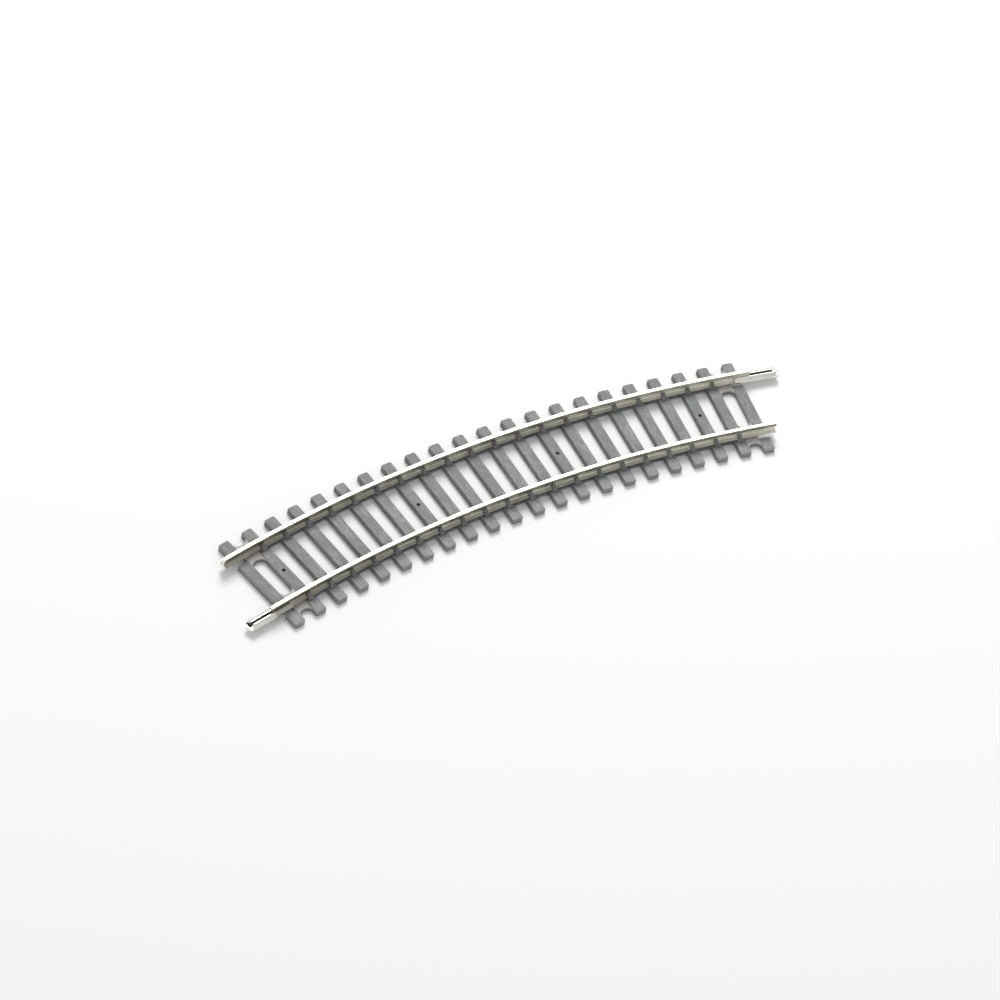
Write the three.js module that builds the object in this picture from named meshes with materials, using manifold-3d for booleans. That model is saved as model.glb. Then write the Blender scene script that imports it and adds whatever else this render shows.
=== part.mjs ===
// Curved model railway track section, 16.5 mm gauge, sixteen to the circle.
// Millimetres, +Z up. X runs along the chord and +Y points to the outside of the curve.
// One moulded base of sleepers holds two drawn metal rails by their feet, and a folded
// metal joiner is pushed on the inner rail at one end and on the outer rail at the other.

import * as THREE from "three";
import { mergeVertices } from "three/addons/utils/BufferGeometryUtils.js";
import Module from "manifold-3d";

// The line of the track
const GAUGE = 16.5;
const CURVE_RADIUS = 371;
const SWEEP = THREE.MathUtils.degToRad(22.5);

// Flat-bottomed rail
const RAIL_HEIGHT = 2.54;
const HEAD_WIDTH = 1.05;
const HEAD_DEPTH = 0.74;
const HEAD_ROUNDING = 0.1;
const WEB_THICKNESS = 0.56;
const FOOT_WIDTH = 2.3;
const FOOT_EDGE = 0.28;
const FOOT_SHOULDER = 0.5;
const FOOT_SHOULDER_WIDTH = 1.1;
const FOOT_DEPTH = 0.68;

// Moulded sleepers, evenly pitched along the centreline. The rails sit a little off the middle
// of the base, so that all the sleepers stand SLEEPER_SHIFT towards +X of the rails' middle.
const SLEEPER_COUNT = 22;
const SLEEPER_PITCH = 6.56;
const SLEEPER_SHIFT = 0.55;
const SLEEPER_LENGTH = 29;
const SLEEPER_WIDTH = 2.86;
const SLEEPER_HEIGHT = 1.4;
const SLEEPER_DRAFT = 0.03;
const SLEEPER_EDGE = 0.14;

// Strips under the rails, the wider plates that close both end bays, and the gaps in the end
// sleepers under the rails
const STRIP_WIDTH = 1.8;
const STRIP_HEIGHT = 0.6;
const PLATE_WIDTH_AT_SLEEPERS = 8.6;
const PLATE_WIDTH_MIDWAY = 5.6;
const PLATE_HEIGHT = 1.2;
const GAP_WIDTH = 3.8;

// Chairs that clip over the foot of the rail
const CHAIR_LENGTH = 1.4;
const CHAIR_WIDTH = 3.8;
const CHAIR_BASE_HEIGHT = 0.32;
const CHAIR_SHOULDER_HEIGHT = 0.74;
const CHAIR_TOP_HEIGHT = 1.32;
const CHAIR_TOP_WIDTH = 1.06;
const CHAIR_ROOT = 0.2;
const SEAT_HEIGHT = 0.13;
const SEAT_LENGTH = 1.7;
const CORE_SLOT_LENGTH = 1.2;
const CORE_SLOT_WIDTH = 0.55;
const CORE_SLOT_OFFSET = 0.9;

// Holes for track pins, in every sixth sleeper
const PIN_HOLE_DIAMETER = 1;
const PIN_HOLE_SIDES = 16;
const FIRST_PIN_SLEEPER = 1;
const PIN_SLEEPER_STEP = 6;

// Folded sheet joiners
const JOINER_LENGTH = 13;
const OUTER_JOINER_ENGAGED = 4.9;
const INNER_JOINER_ENGAGED = 6.2;
const SHEET = 0.25;
const JOINER_CORNER = 0.15;
const JOINER_WALL_HEIGHT = 0.44;
const JOINER_LIP_HEIGHT = 1.08;

// Running gaps between separate pieces
const SEAT_GAP = 0.02;
const CLIP_GAP = 0.08;
const JOINER_FLOOR_GAP = 0.05;

// Worked out from the dimensions above
const PITCH_ANGLE = SLEEPER_PITCH / CURVE_RADIUS;
const RAIL_OFFSET = (GAUGE + HEAD_WIDTH) / 2;
const RAIL_BASE = SLEEPER_HEIGHT + SEAT_HEIGHT + SEAT_GAP;
const BEYOND = 1;

const SLEEPER_PLASTIC = { color: 0x8b8f91, roughness: 0.6, metalness: 0 };
const NICKEL_SILVER = { color: 0xc9c4b4, roughness: 0.3, metalness: 1 };
const JOINER_METAL = { color: 0xd8d6cf, roughness: 0.3, metalness: 1 };

const wasm = await Module();
wasm.setup();

function toSolid(geometry) {
  const bare = geometry.index ? geometry.toNonIndexed() : geometry;
  bare.deleteAttribute("normal");
  bare.deleteAttribute("uv");
  const merged = mergeVertices(bare);
  return new wasm.Manifold(new wasm.Mesh({
    numProp: 3,
    vertProperties: new Float32Array(merged.attributes.position.array),
    triVerts: new Uint32Array(merged.index.array),
  }));
}

function toMesh(name, solid, finish) {
  const result = solid.getMesh();
  const geometry = new THREE.BufferGeometry();
  geometry.setAttribute("position", new THREE.BufferAttribute(result.vertProperties, 3));
  geometry.setIndex(new THREE.BufferAttribute(result.triVerts, 1));
  geometry.computeVertexNormals();
  const mesh = new THREE.Mesh(geometry, new THREE.MeshStandardMaterial(finish));
  mesh.name = name;
  return mesh;
}

function outline(points) {
  return new THREE.Shape(points.map(([x, y]) => new THREE.Vector2(x, y)));
}

// The right half of a section, from its foot up, repeated on the left.
function symmetricOutline(rightHalf) {
  const leftHalf = rightHalf.map(([x, y]) => [-x, y]).reverse();
  return outline([...rightHalf, ...leftHalf]);
}

function rectangle(width, low, high) {
  return symmetricOutline([[width / 2, low], [width / 2, high]]);
}

// A place on the curve: X along the track, Y outwards, at a distance from the centreline.
function placeAt(angle, offset) {
  return new THREE.Matrix4()
    .makeTranslation(0, -CURVE_RADIUS, 0)
    .multiply(new THREE.Matrix4().makeRotationZ(-angle))
    .multiply(new THREE.Matrix4().makeTranslation(0, CURVE_RADIUS + offset, 0));
}

// A section drawn as (outwards, up) and extruded along the track, between two distances.
function alongTrack(shape, from, to) {
  const geometry = new THREE.ExtrudeGeometry(shape, { depth: to - from, bevelEnabled: false });
  geometry.translate(0, 0, from);
  const outwards = new THREE.Vector3(0, 1, 0);
  const up = new THREE.Vector3(0, 0, 1);
  const forwards = new THREE.Vector3(1, 0, 0);
  return geometry.applyMatrix4(new THREE.Matrix4().makeBasis(outwards, up, forwards));
}

// A section drawn as (outwards, up) and swept round the curve.
function roundCurve(shape, offset, fromAngle, toAngle, steps) {
  const geometry = new THREE.ExtrudeGeometry(shape, { depth: 1, steps, bevelEnabled: false });
  const position = geometry.attributes.position;
  for (let i = 0; i < position.count; i += 1) {
    const radius = CURVE_RADIUS + offset + position.getX(i);
    const angle = THREE.MathUtils.lerp(fromAngle, toAngle, position.getZ(i));
    const height = position.getY(i);
    position.setXYZ(i, radius * Math.sin(angle), radius * Math.cos(angle) - CURVE_RADIUS, height);
  }
  return geometry;
}

function sleeperAngle(index) {
  const fromMiddle = index - (SLEEPER_COUNT - 1) / 2;
  return fromMiddle * PITCH_ANGLE + SLEEPER_SHIFT / CURVE_RADIUS;
}

// Rails

function railOutline() {
  const head = HEAD_WIDTH / 2;
  const web = WEB_THICKNESS / 2;
  const corner = HEAD_ROUNDING;
  return symmetricOutline([
    [FOOT_WIDTH / 2, 0],
    [FOOT_WIDTH / 2, FOOT_EDGE],
    [FOOT_SHOULDER_WIDTH / 2, FOOT_SHOULDER],
    [web, FOOT_DEPTH],
    [web, RAIL_HEIGHT - HEAD_DEPTH - corner],
    [head, RAIL_HEIGHT - HEAD_DEPTH],
    [head, RAIL_HEIGHT - 2 * corner],
    [head - corner / 2, RAIL_HEIGHT - corner / 2],
    [head - 2 * corner, RAIL_HEIGHT],
  ]);
}

function makeRail(offset) {
  const geometry = roundCurve(railOutline(), offset, -SWEEP / 2, SWEEP / 2, SLEEPER_COUNT);
  geometry.translate(0, 0, RAIL_BASE);
  return toSolid(geometry);
}

// Sleeper base

function makeSleeper(angle) {
  const top = SLEEPER_WIDTH / 2;
  const section = symmetricOutline([
    [top + SLEEPER_DRAFT, 0],
    [top, SLEEPER_HEIGHT - SLEEPER_EDGE],
    [top - SLEEPER_EDGE, SLEEPER_HEIGHT],
  ]);
  const geometry = new THREE.ExtrudeGeometry(section, { depth: SLEEPER_LENGTH, bevelEnabled: false });
  geometry.translate(0, 0, -SLEEPER_LENGTH / 2);
  geometry.rotateX(Math.PI / 2);
  return toSolid(geometry.applyMatrix4(placeAt(angle, 0)));
}

// An end sleeper stops short of each rail, to let a joiner slide through. Beyond the gap it hangs
// on the end plate.
function makeEndGap(angle, offset) {
  const section = rectangle(GAP_WIDTH, -BEYOND, SLEEPER_HEIGHT + BEYOND);
  const inwards = SLEEPER_WIDTH / 2 + SLEEPER_DRAFT;
  const outwards = SLEEPER_WIDTH;
  const from = angle < 0 ? -outwards : -inwards;
  const to = angle < 0 ? inwards : outwards;
  return toSolid(alongTrack(section, from, to).applyMatrix4(placeAt(angle, offset)));
}

function makeStrip(offset) {
  const section = rectangle(STRIP_WIDTH, 0, STRIP_HEIGHT);
  const last = SLEEPER_COUNT - 1;
  return toSolid(roundCurve(section, offset, sleeperAngle(0), sleeperAngle(last), last));
}

// A plate between the end sleeper and the next one, with an arched edge on both sides.
function makeEndPlate(angle, offset) {
  const reach = (PITCH_ANGLE * (CURVE_RADIUS + offset)) / 2;
  const bay = reach - SLEEPER_WIDTH / 2;
  const wide = PLATE_WIDTH_AT_SLEEPERS / 2;
  const archDepth = wide - PLATE_WIDTH_MIDWAY / 2;
  const plan = new THREE.Shape();
  plan.moveTo(-reach, wide);
  plan.lineTo(-bay, wide);
  plan.absellipse(0, wide, bay, archDepth, Math.PI, 2 * Math.PI, false);
  plan.lineTo(reach, wide);
  plan.lineTo(reach, -wide);
  plan.lineTo(bay, -wide);
  plan.absellipse(0, -wide, bay, archDepth, 0, Math.PI, false);
  plan.lineTo(-reach, -wide);
  plan.closePath();
  const depth = PLATE_HEIGHT;
  const geometry = new THREE.ExtrudeGeometry(plan, { depth, curveSegments: 8, bevelEnabled: false });
  return toSolid(geometry.applyMatrix4(placeAt(angle, offset)));
}

// One jaw of a chair. Its underside follows the slope of the rail's foot, a clip's gap above it.
function jawOutline(side) {
  const outer = CHAIR_WIDTH / 2;
  const inner = FOOT_WIDTH / 2 + CLIP_GAP;
  const foot = SLEEPER_HEIGHT + SEAT_HEIGHT + SEAT_GAP + CLIP_GAP;
  const web = WEB_THICKNESS / 2 + CLIP_GAP;
  const shoulder = FOOT_SHOULDER_WIDTH / 2 + CLIP_GAP / 2;
  const points = [
    [inner, SLEEPER_HEIGHT - CHAIR_ROOT],
    [outer, SLEEPER_HEIGHT - CHAIR_ROOT],
    [outer, SLEEPER_HEIGHT + CHAIR_BASE_HEIGHT],
    [inner, SLEEPER_HEIGHT + CHAIR_SHOULDER_HEIGHT],
    [CHAIR_TOP_WIDTH / 2, SLEEPER_HEIGHT + CHAIR_TOP_HEIGHT],
    [web, SLEEPER_HEIGHT + CHAIR_TOP_HEIGHT],
    [web, foot + FOOT_DEPTH],
    [shoulder, foot + FOOT_SHOULDER],
    [inner, foot + FOOT_EDGE],
  ];
  return outline(points.map(([x, y]) => [side * x, y]));
}

function makeChair(angle, offset) {
  const place = placeAt(angle, offset);
  const half = CHAIR_LENGTH / 2;
  const seatTop = SLEEPER_HEIGHT + SEAT_HEIGHT;
  const seat = rectangle(CHAIR_WIDTH, SLEEPER_HEIGHT - CHAIR_ROOT, seatTop);
  const pieces = [toSolid(alongTrack(seat, -SEAT_LENGTH / 2, SEAT_LENGTH / 2).applyMatrix4(place))];
  for (const side of [-1, 1]) {
    pieces.push(toSolid(alongTrack(jawOutline(side), -half, half).applyMatrix4(place)));
  }
  return pieces;
}

// The slots left by the mould's core pins, under the two jaws of a chair.
function makeCoreSlots(angle, offset) {
  return [-1, 1].map((side) => {
    const length = CORE_SLOT_LENGTH;
    const height = SLEEPER_HEIGHT + 2 * BEYOND;
    const geometry = new THREE.BoxGeometry(length, CORE_SLOT_WIDTH, height);
    const middle = SLEEPER_HEIGHT + SEAT_HEIGHT + SEAT_GAP - height / 2;
    geometry.translate(0, side * CORE_SLOT_OFFSET, middle);
    return toSolid(geometry.applyMatrix4(placeAt(angle, offset)));
  });
}

function makePinHole(angle) {
  const radius = PIN_HOLE_DIAMETER / 2;
  const height = 2 * (SLEEPER_HEIGHT + BEYOND);
  const geometry = new THREE.CylinderGeometry(radius, radius, height, PIN_HOLE_SIDES);
  geometry.rotateX(Math.PI / 2);
  return toSolid(geometry.applyMatrix4(placeAt(angle, 0)));
}

function makeSleeperBase() {
  const offsets = [-RAIL_OFFSET, RAIL_OFFSET];
  const last = SLEEPER_COUNT - 1;
  const solids = [];
  const cuts = [];
  for (let index = 0; index < SLEEPER_COUNT; index += 1) {
    const angle = sleeperAngle(index);
    const atEnd = index === 0 || index === last;
    solids.push(makeSleeper(angle));
    for (const offset of offsets) {
      if (atEnd) {
        cuts.push(makeEndGap(angle, offset));
      } else {
        solids.push(...makeChair(angle, offset));
        cuts.push(...makeCoreSlots(angle, offset));
      }
    }
    if ((index - FIRST_PIN_SLEEPER) % PIN_SLEEPER_STEP === 0) {
      cuts.push(makePinHole(angle));
    }
  }
  for (const offset of offsets) {
    solids.push(makeStrip(offset));
    for (const bay of [0, last - 1]) {
      solids.push(makeEndPlate(sleeperAngle(bay + 0.5), offset));
    }
  }
  const base = solids.reduce((whole, solid) => whole.add(solid));
  return cuts.reduce((whole, cut) => whole.subtract(cut), base);
}

// Joiners

// A channel folded round the foot of the rail, open along its top for the rail's web.
function joinerOutline() {
  const inner = FOOT_WIDTH / 2 + CLIP_GAP;
  const outer = inner + SHEET;
  const slot = WEB_THICKNESS / 2 + CLIP_GAP;
  const shoulder = FOOT_SHOULDER_WIDTH / 2 + CLIP_GAP;
  const floor = -JOINER_FLOOR_GAP;
  return symmetricOutline([
    [outer - JOINER_CORNER, floor - SHEET],
    [outer, floor - SHEET + JOINER_CORNER],
    [outer, JOINER_WALL_HEIGHT],
    [outer - JOINER_CORNER, JOINER_WALL_HEIGHT + JOINER_CORNER],
    [shoulder + SHEET / 2, FOOT_SHOULDER + CLIP_GAP + SHEET],
    [slot + SHEET, JOINER_LIP_HEIGHT],
    [slot, JOINER_LIP_HEIGHT],
    [slot, FOOT_DEPTH + CLIP_GAP],
    [shoulder, FOOT_SHOULDER + CLIP_GAP],
    [inner, FOOT_EDGE + CLIP_GAP],
    [inner, floor],
  ]);
}

// A joiner pushed on a rail: side is -1 for the left end of the track and 1 for the right end.
function makeJoiner(offset, side, engaged) {
  const engagedMiddle = engaged / 2;
  const angle = side * (SWEEP / 2 - engagedMiddle / (CURVE_RADIUS + offset));
  const near = -side * engagedMiddle;
  const far = side * (JOINER_LENGTH - engagedMiddle);
  const geometry = alongTrack(joinerOutline(), Math.min(near, far), Math.max(near, far));
  geometry.translate(0, 0, RAIL_BASE);
  return toSolid(geometry.applyMatrix4(placeAt(angle, offset)));
}

// The parts, moved so that the middle of the underside is at the origin

const track = new THREE.Group();
track.add(
  toMesh("sleeper_base", makeSleeperBase(), SLEEPER_PLASTIC),
  toMesh("outer_rail", makeRail(RAIL_OFFSET), NICKEL_SILVER),
  toMesh("inner_rail", makeRail(-RAIL_OFFSET), NICKEL_SILVER),
  toMesh("outer_rail_joiner", makeJoiner(RAIL_OFFSET, 1, OUTER_JOINER_ENGAGED), JOINER_METAL),
  toMesh("inner_rail_joiner", makeJoiner(-RAIL_OFFSET, -1, INNER_JOINER_ENGAGED), JOINER_METAL),
);
const bounds = new THREE.Box3().setFromObject(track);
const middle = bounds.getCenter(new THREE.Vector3());
track.position.set(-middle.x, -middle.y, -bounds.min.z);

export default track;
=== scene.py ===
import math

import bmesh
import bpy
import numpy as np
from mathutils import Matrix, Vector


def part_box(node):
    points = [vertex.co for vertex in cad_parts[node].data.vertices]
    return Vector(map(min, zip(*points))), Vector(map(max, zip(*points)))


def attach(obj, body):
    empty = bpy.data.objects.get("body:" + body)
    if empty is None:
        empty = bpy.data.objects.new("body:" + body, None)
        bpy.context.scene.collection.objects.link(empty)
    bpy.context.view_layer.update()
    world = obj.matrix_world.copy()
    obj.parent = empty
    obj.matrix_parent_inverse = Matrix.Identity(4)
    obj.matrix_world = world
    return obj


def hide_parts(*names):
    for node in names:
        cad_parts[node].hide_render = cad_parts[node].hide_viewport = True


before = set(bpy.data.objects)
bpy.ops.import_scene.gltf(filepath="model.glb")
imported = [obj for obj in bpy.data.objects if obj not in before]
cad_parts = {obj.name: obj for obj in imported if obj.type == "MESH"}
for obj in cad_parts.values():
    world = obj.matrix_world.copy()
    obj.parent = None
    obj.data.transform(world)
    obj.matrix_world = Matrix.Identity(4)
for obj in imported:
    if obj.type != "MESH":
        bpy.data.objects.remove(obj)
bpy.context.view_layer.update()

# Lengths are in millimetres, and become metres where a mesh or a light is made.
MM = 0.001

# The line of the track
GAUGE = 16.5
CURVE_RADIUS = 371.0
SWEEP = math.radians(22.5)
RAIL_STEPS = 132

# Rail section, with heights above the underside of its foot
RAIL_BASE = 1.55
RAIL_HEIGHT = 2.54
HEAD_WIDTH = 1.05
FOOT_WIDTH = 2.3
WEB_THICKNESS = 0.56
FOOT_EDGE_HEIGHT = 0.28
FOOT_SLOPE_END = (0.55, 0.5)
WEB_BOTTOM = 0.68
WEB_TOP = 1.7
HEAD_BOTTOM = 1.8
CROWN = 0.02
SECTION_RADII = [0.06, 0.08, 0.12, 0.16, 0.12, 0.05]
OUTWARD_CORNER_RADIUS = 0.1
INWARD_CORNER_RADIUS = 0.2
RAIL_OFFSET = (GAUGE + HEAD_WIDTH) / 2
RAIL_OFFSETS = (-RAIL_OFFSET, RAIL_OFFSET)
RAIL_HALF_ARC = SWEEP / 2 * CURVE_RADIUS
CUT_BEVEL = 0.04

# Sleepers
SLEEPER_COUNT = 22
PITCH_ANGLE = 6.56 / CURVE_RADIUS
SHIFT_ANGLE = 0.55 / CURVE_RADIUS
SLEEPER_LENGTH = 29.0
SLEEPER_WIDTH = 2.92
SLEEPER_HEIGHT = 1.4
SIDE_DRAFT = 0.03
CORNER_RADIUS = 0.45
TOP_EDGE = 0.18
TOP_EDGE_TURNS = (60, 30, 0)
GRAIN_DEPTH = 0.045
GRAIN_SEED = 100
FINE_CELLS = (9, 11)
BROAD_CELLS = (4, 5)
GROOVE_LEVEL = 0.55
GROOVE_FADE = 0.3
FINE_SHARE = 0.75
GRID_ACROSS = 13
GRID_ALONG = 70
CORNER_STEPS = 3
PIN_SLEEPERS = (1, 7, 13, 19)
PIN_HOLE_RADIUS = 0.5

# Strips, end plates and chairs
STRIP_WIDTH = 1.8
STRIP_HEIGHT = 0.6
STRIP_CHAMFER = 0.08
STRIP_STEPS = 84
PLATE_WIDTH_AT_SLEEPERS = 8.6
PLATE_WIDTH_MIDWAY = 5.6
PLATE_HEIGHT = 1.2
PLATE_EDGE = 0.1
PLATE_OVERLAP = 0.04
ARCH_STEPS = 24
GAP_WIDTH = 3.8
CORE_SLOT = (1.2, 0.55)
CORE_SLOT_OFFSET = 0.9
CORE_SLOT_ROOF = 0.13
CHAIR_WIDTH = 3.8
SEAT_TOP = 1.53
SEAT_SUNK = 0.15
SEAT_HALF_ALONG = 0.86
SEAT_CORNER = 0.2
SEAT_EDGE = 0.06
EDGE_MIDWAY = 0.3
SMALLEST_RADIUS = 0.02
CUTTER_REACH = 1.0

# The two parts of a jaw, as (distance from the rail's middle, height above the sleeper)
JAW_INNER = FOOT_WIDTH / 2 + 0.08
SHOULDER = [(JAW_INNER, -0.1), (1.84, -0.1), (1.84, 0.3), (JAW_INNER + 0.12, 0.66), (JAW_INNER, 0.66)]
SHOULDER_HALF_ALONG = 0.7
SHOULDER_BEVEL = 0.06
TONGUE = [(JAW_INNER - 0.02, 0.2), (JAW_INNER + 0.3, 0.2), (JAW_INNER + 0.2, 0.66), (0.53, 1.3),
          (0.36, 1.3), (0.36, 0.93), (0.6, 0.75), (JAW_INNER, 0.55)]
TONGUE_HALF_ALONG = 0.45
TONGUE_BEVEL = 0.05
BOLT_RADIUS = 0.19
BOLT_BOTTOM = 0.1
BOLT_TOP = 0.52
BOLT_SIDES = 10
BOLT_BEVEL = (0.06, 0.05)
BOLT_ALONG = 0.48
BOLT_OUT = 1.62

# Joiners
JOINER_LENGTH = 13.0
OUTER_JOINER_ENGAGED = 4.9
INNER_JOINER_ENGAGED = 6.2
SHEET = 0.25
JOINER_FLOOR = -0.175
JOINER_WALL = 1.355
JOINER_WALL_TOP = 0.44
LIP_BEND = (0.72, 0.7)
LIP_FOOT_HEIGHT = 0.84
LIP_INNER = 0.485
LIP_TOP = 1.08
JOINER_RADII = [0.0, 0.3, 0.17, 0.0, 0.15, 0.0]
JOINER_STEPS = 40
PATH_STEP = 0.2
LIP_CUTBACK = 0.8
CUTBACK_START = 0.7
CUTBACK_LENGTH = 1.4
LIP_CORNER = 0.25
RIM_BEVEL = 0.035

# The inside of a joiner, under a line that falls outwards from its lips
LIP_SLOPE = 0.41
LIP_LINE = 0.99
LIP_FACE = 0.43

# Colours, in linear light
MOULDED_DARK = (0.183, 0.193, 0.196, 1)
MOULDED_LIGHT = (0.283, 0.287, 0.287, 1)
GRAIN_TONE = (0.14, 0.147, 0.148, 1)
# Painted light on the tops of the end plates, lighter than the sleepers' own plastic
PLATE_PAINTED_LIGHT = (0.42, 0.395, 0.385, 1)
# Lighter tone towards the inner ends of the sleepers
INNER_END_TONE = (0.35, 0.355, 0.36, 1)
# Painted shade on the outer ends of the sleepers
OUTER_END_SHADE = (0.15, 0.153, 0.14, 1)
# Painted shade on the sleepers and chairs beside the rails
PAINTED_SHADE_TONE = (0.075, 0.073, 0.066, 1)
# Rail web in two stain tones, lightened as painted light against the shade under the head
LIT_WEB_DARK = (0.6, 0.59, 0.51, 1)
LIT_WEB_LIGHT = (0.84, 0.83, 0.74, 1)
# Rail foot in two stain tones, darkened as painted shade from the chairs and the head
SHADED_FOOT_DARK = (0.27, 0.26, 0.215, 1)
SHADED_FOOT_LIGHT = (0.48, 0.47, 0.4, 1)
SIDE_DARK = (0.36, 0.355, 0.3, 1)
# Head side towards the right-hand end, lighter as painted light
SIDE_LIT_RIGHT = (0.5, 0.49, 0.42, 1)
SIDE_INNER_RAIL = (0.25, 0.245, 0.2, 1)
# Painted light towards the right-hand end of the rails
RIGHT_END_LIGHT_TONE = (0.97, 0.955, 0.82, 1)
SPECKLE_TONE = (0.22, 0.21, 0.165, 1)
# Darker tone towards the left-hand end of the rails
LEFT_END_DARK_TONE = (0.22, 0.21, 0.155, 1)
CUT_TONE = (0.82, 0.81, 0.74, 1)
DRAWN_DARK = (0.79, 0.78, 0.6, 1)
DRAWN_LIGHT = (0.87, 0.86, 0.66, 1)
SHEET_DARK = (0.8, 0.79, 0.75, 1)
SHEET_LIGHT = (0.9, 0.89, 0.86, 1)
# Where a joiner is inside the rail: painted shade at the left-hand end, painted light at the right-hand
# end
GRIP_PAINTED_SHADE = (0.4, 0.385, 0.31, 1)
GRIP_PAINTED_LIGHT = (0.95, 0.94, 0.82, 1)
# Painted shade inside the joiner's channel
JOINER_INSIDE_SHADE = (0.13, 0.125, 0.1, 1)
FLOOR_TONE = (0.86, 0.86, 0.86, 1)
WHITE = (1, 1, 1, 1)

# Where each tone begins and where it is full. ARC is along the curve from its middle, OUT is from
# the centre line, ACROSS and FROM_RAIL are from the middle of a rail, HEIGHT is from the underside
# of the track, and UP is from the underside of the rail.
LIT_RIGHT_ARC = (5.0, 62.0)
DARKER_LEFT_ARC = (-10.0, -66.0)
UNSHADED_FOOT_ARC = (62.0, 70.0)
END_BAY_ARC = (63.0, 63.8)
INNER_END_OUT = (-11.6, -12.8)
OUTER_END_SHADE_OUT = (11.0, 12.5)
SHADE_FROM_RAIL = (3.4, 2.0)
SHADE_HEIGHT = (0.8, 1.2)
PLATE_FACE_HEIGHT = (0.7, 1.1)
POLISHED_ACROSS = (-0.5, -0.26)
POLISHED_UP = (2.3, 2.48)
FOOT_UP = (0.72, 0.45)
SIDE_UP = (1.6, 1.85)
SMOOTHER_HEIGHT = (1.9, 2.6)

# How strongly a tone covers what is under it
MOTTLE_SHARE = 0.65
PLATE_LIGHT_SHARE = 0.95
INNER_END_SHARE = 0.25
OUTER_END_SHADE_SHARE = 0.15
SHADE_SHARE = 0.24
SHADE_SHARE_AT_RIGHT_END = 0.5
SPECKLE_SHARE = 0.45
LEFT_END_DARK_SHARE = 0.5
GRIP_SHARE = 0.8
INSIDE_SHADE_SHARE = 0.45
INNER_RAIL_LESS_LIT = 0.35

# Shading breaks, or an edge is bevelled, where faces meet at more than these angles in degrees
MOULDING_BREAK = 34
RAIL_BREAK = 40
JOINER_BREAK = 35
PRISM_BEVEL_BREAK = 25
RIM_BEVEL_BREAK = 60

# Floor, light and camera. FLOOR_HALF, LIGHT_DISTANCE and LIGHT_SIZE are in metres.
FLOOR_HALF = 3.0
FLOOR_DROP = 0.02
LIGHT_DIRECTION = (0.42, 0.8, 1.0)
LIGHT_DISTANCE = 1.1
LIGHT_SIZE = 0.5
LIGHT_POWER = 9.4
WORLD_STRENGTH = 0.63
CAMERA_AZIMUTH = -0.697870
CAMERA_ELEVATION = 0.852002
CAMERA_ROLL = 0.213257
CAMERA_DISTANCE = 920.027
CAMERA_TARGET = (-4.897, -2.88, -0.6)
CAMERA_LENS = 138.113
CAMERA_SENSOR = 36

# Where the curve sits in the frame, from the outer rail's box
rail_low, rail_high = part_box("outer_rail")
CENTRE_X = (rail_low.x + rail_high.x) / 2 / MM
CENTRE_Y = rail_high.y / MM - RAIL_OFFSET - FOOT_WIDTH / 2


def on_curve(angle, offset, height):
    """Points of the frame, from angles round the curve, distances outwards and heights."""
    radius = CURVE_RADIUS + np.asarray(offset, float)
    x = CENTRE_X + radius * np.sin(angle)
    y = CENTRE_Y + radius * np.cos(angle) - CURVE_RADIUS
    return np.stack(np.broadcast_arrays(x, y, np.asarray(height, float)), -1)


def placed(points, angle, offset=0.0):
    """Points given as (along the track, outwards, up) about a place on the curve."""
    points = np.asarray(points, float)
    c, s = math.cos(angle), math.sin(angle)
    origin = on_curve(angle, offset, 0.0)
    x = origin[0] + c * points[:, 0] + s * points[:, 1]
    y = origin[1] - s * points[:, 0] + c * points[:, 1]
    return np.stack([x, y, points[:, 2]], -1)


def sleeper_angle(index):
    return (index - (SLEEPER_COUNT - 1) / 2) * PITCH_ANGLE + SHIFT_ANGLE


def fillet(corners, radii, steps=4):
    """A closed outline whose corners are rounded, each to its own radius.

    A corner takes less than half of the edge on either side, so its radius may come out smaller.
    """
    edge_share = 0.48
    corners = np.asarray(corners, float)
    rounded = []
    for i, radius in enumerate(radii):
        here = corners[i]
        back = corners[i - 1] - here
        ahead = corners[(i + 1) % len(corners)] - here
        if radius <= 0:
            rounded.append(here)
            continue
        back_length, ahead_length = np.linalg.norm(back), np.linalg.norm(ahead)
        back, ahead = back / back_length, ahead / ahead_length
        half = math.acos(np.clip(back @ ahead, -1, 1)) / 2
        reach = min(radius / math.tan(half), edge_share * back_length, edge_share * ahead_length)
        true_radius = reach * math.tan(half)
        middle = (back + ahead) / np.linalg.norm(back + ahead)
        centre = here + middle * true_radius / math.sin(half)
        start = here + back * reach - centre
        finish = here + ahead * reach - centre
        turn = math.pi - 2 * half
        side = np.sign(start[0] * finish[1] - start[1] * finish[0])
        for k in range(steps + 1):
            a = side * turn * k / steps
            c, s = math.cos(a), math.sin(a)
            rounded.append(centre + [c * start[0] - s * start[1], s * start[0] + c * start[1]])
    return np.array(rounded)


def outline_normals(outline):
    """Unit vectors that point out of a counterclockwise outline, at its points."""
    ahead = np.roll(outline, -1, 0) - outline
    back = outline - np.roll(outline, 1, 0)
    ahead /= np.linalg.norm(ahead, axis=1)[:, None]
    back /= np.linalg.norm(back, axis=1)[:, None]
    along = ahead + back
    along /= np.linalg.norm(along, axis=1)[:, None]
    return np.stack([along[:, 1], -along[:, 0]], 1)


def ring_faces(rings, count):
    """Quads between rings of points, and a cap on the first and the last."""
    faces = [tuple(reversed(range(count)))]
    for ring in range(rings - 1):
        a, b = ring * count, (ring + 1) * count
        for k in range(count):
            n = (k + 1) % count
            faces.append((a + k, a + n, b + n, b + k))
    faces.append(tuple(range((rings - 1) * count, rings * count)))
    return faces


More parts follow.
